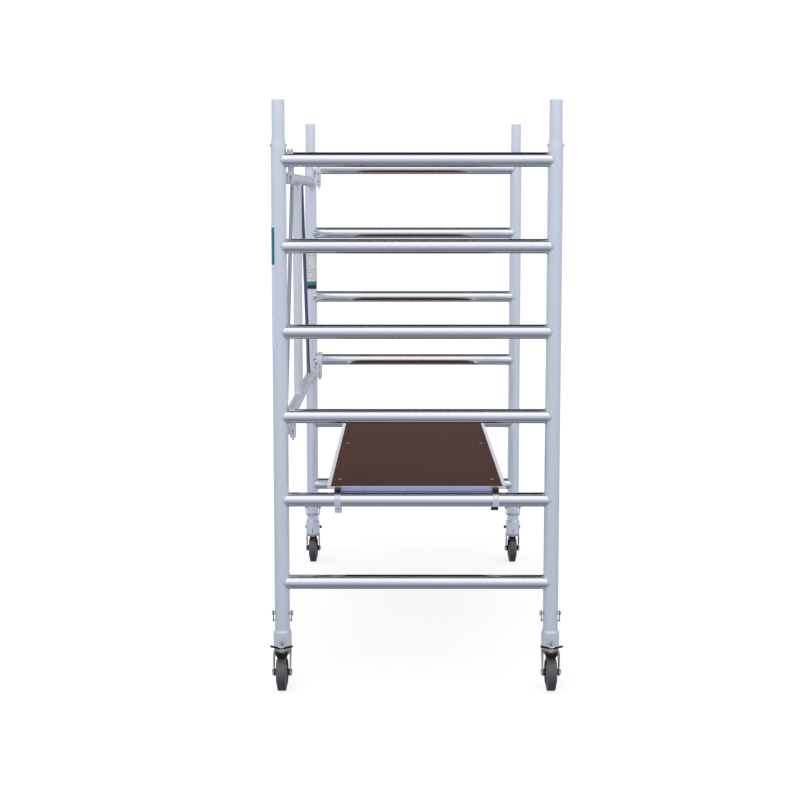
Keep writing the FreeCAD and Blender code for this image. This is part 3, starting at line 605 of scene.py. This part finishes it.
pm.from_mesh(plugs.data)
bmesh.ops.remove_doubles(pm, verts=pm.verts, dist=1e-7)
bmesh.ops.dissolve_degenerate(pm, edges=pm.edges, dist=1e-7)
bmesh.ops.recalc_face_normals(pm, faces=pm.faces)
pm.to_mesh(plugs.data)
pm.free()


# ------------------------------------------------------------------ stage, light, camera
def make_world():
    """A studio as light by direction: a bright band in front and above, a dark ceiling towards the back,
    a pale horizon all round and a grey floor side. The camera itself sees plain white."""
    w = bpy.data.worlds.new("studio")
    scene.world = w
    w.use_nodes = True
    t = w.node_tree
    t.nodes.clear()

    def n(kind, **props):
        x = t.nodes.new(kind)
        for k, v in props.items():
            setattr(x, k, v)
        return x

    out = n("ShaderNodeOutputWorld")
    tc = n("ShaderNodeTexCoord")
    sep = n("ShaderNodeSeparateXYZ")
    t.links.new(tc.outputs["Generated"], sep.inputs[0])
    asin = n("ShaderNodeMath", operation="ARCSINE")
    t.links.new(sep.outputs["Z"], asin.inputs[0])
    el = n("ShaderNodeMapRange")
    el.inputs["From Min"].default_value = -math.pi / 2
    el.inputs["From Max"].default_value = math.pi / 2
    t.links.new(asin.outputs[0], el.inputs["Value"])

    def profile(stops):
        r = n("ShaderNodeValToRGB")
        e = r.color_ramp.elements
        while len(e) > 1:
            e.remove(e[-1])
        first = True
        for deg, (cr, cg, cb) in stops:
            pos = (deg + 90.0) / 180.0
            if first:
                e[0].position, e[0].color = pos, rgb(cr, cg, cb)
                first = False
            else:
                e.new(pos).color = rgb(cr, cg, cb)
        t.links.new(el.outputs[0], r.inputs[0])
        return r.outputs[0]

    front = profile([(-90, (134, 137, 150)), (-75, (116, 120, 134)), (-60, (112, 117, 131)), (-50, (124, 128, 143)),
                     (-35, (146, 150, 165)), (-15, (180, 185, 200)), (0, (202, 205, 220)), (14, (230, 233, 250)),
                     (26, (250, 252, 255)), (42, (255, 255, 255)), (57, (252, 253, 255)), (65, (190, 193, 199)),
                     (72, (125, 128, 136)), (80, (72, 74, 80)), (86, (52, 53, 58)), (90, (44, 45, 50))])
    back = profile([(-90, (134, 137, 150)), (-72, (112, 115, 128)), (-50, (96, 99, 110)), (-25, (128, 132, 144)),
                    (-8, (186, 190, 205)), (0, (202, 206, 222)), (6, (236, 240, 252)), (15, (236, 240, 252)),
                    (28, (112, 115, 122)), (38, (62, 64, 69)), (45, (50, 52, 57)), (60, (34, 35, 39)), (73, (33, 34, 38)),
                    (90, (44, 45, 50))])
    # 0 in front, 1 behind
    az = n("ShaderNodeMapRange", interpolation_type="SMOOTHSTEP")
    az.inputs["From Min"].default_value = -0.35
    az.inputs["From Max"].default_value = 0.35
    t.links.new(sep.outputs["Y"], az.inputs["Value"])
    mixc = n("ShaderNodeMix", data_type="RGBA")
    t.links.new(az.outputs[0], mixc.inputs[0])
    t.links.new(front, mixc.inputs[6])
    t.links.new(back, mixc.inputs[7])
    bg = n("ShaderNodeBackground")
    t.links.new(mixc.outputs[2], bg.inputs["Color"])
    bg.inputs["Strength"].default_value = 1.0
    white = n("ShaderNodeBackground")
    white.inputs["Color"].default_value = (1, 1, 1, 1)
    white.inputs["Strength"].default_value = 1.1
    lp = n("ShaderNodeLightPath")
    ms = n("ShaderNodeMixShader")
    t.links.new(lp.outputs["Is Camera Ray"], ms.inputs[0])
    t.links.new(bg.outputs[0], ms.inputs[1])
    t.links.new(white.outputs[0], ms.inputs[2])
    t.links.new(ms.outputs[0], out.inputs[0])


make_world()

floor_mesh = bpy.data.meshes.new("floor")
bm = bmesh.new()
bmesh.ops.create_grid(bm, x_segments=8, y_segments=8, size=60.0)
bm.to_mesh(floor_mesh)
bm.free()
floor = bpy.data.objects.new("floor", floor_mesh)
scene.collection.objects.link(floor)
fm = Mat("floor_pale")
fm.set("Base Color", fm.mix(fm.noise(fm.coord(), 2.0, 3.0, 0.5), (0.30, 0.30, 0.30), (0.34, 0.34, 0.34)))
fm.set("Roughness", 0.9)
fm.set("Specular IOR Level", 0.0)
fm.set("Emission Color", (1.0, 1.0, 1.0))
# Painted shadow: the floor glows dimmer within about 1.2 m of the object's origin and brightens out to 9 m, a painted
# shade pool round the object.
floor_painted_shade_dist = fm.n("ShaderNodeVectorMath", operation="LENGTH")
fm.link(fm.coord(), floor_painted_shade_dist.inputs[0])
fm.set("Emission Strength", fm.remap(floor_painted_shade_dist.outputs["Value"], 1.2, 9.0, 0.765, 0.93))
floor.data.materials.append(fm.m)
floor.visible_diffuse = False
floor.visible_glossy = False


def area(name, loc, target, size, power, colour=(1, 1, 1), glossy=False):
    d = bpy.data.lights.new(name, "AREA")
    d.shape = "RECTANGLE"
    d.size, d.size_y = size
    d.energy = power
    d.color = colour
    o = bpy.data.objects.new(name, d)
    o.location = loc
    o.rotation_euler = (Vector(target) - Vector(loc)).to_track_quat("-Z", "Y").to_euler()
    scene.collection.objects.link(o)
    o.visible_glossy = glossy
    o.visible_camera = False
    return o


area("top_soft", (0.0, -0.5, 6.5), (0, 0, 0), (9.0, 9.0), 260)
area("front_soft", (-2.0, -6.5, 4.0), (0, 0, 0.7), (4.5, 3.5), 150)

cam_data = bpy.data.cameras.new("camera")
cam_data.sensor_width = 36.0
cam_data.lens = 36.0 * 1656.3288 / 800.0
cam_data.clip_start = 0.05
cam_data.clip_end = 400.0
cam = bpy.data.objects.new("camera", cam_data)
pitch, yaw = 0.1233, 0.0014
forward = Vector((-math.sin(yaw) * math.cos(pitch), math.cos(yaw) * math.cos(pitch), -math.sin(pitch)))
cam.location = (-0.047543, -6.383136, 1.650244)
cam.rotation_euler = forward.to_track_quat("-Z", "Y").to_euler()
scene.collection.objects.link(cam)
scene.camera = cam
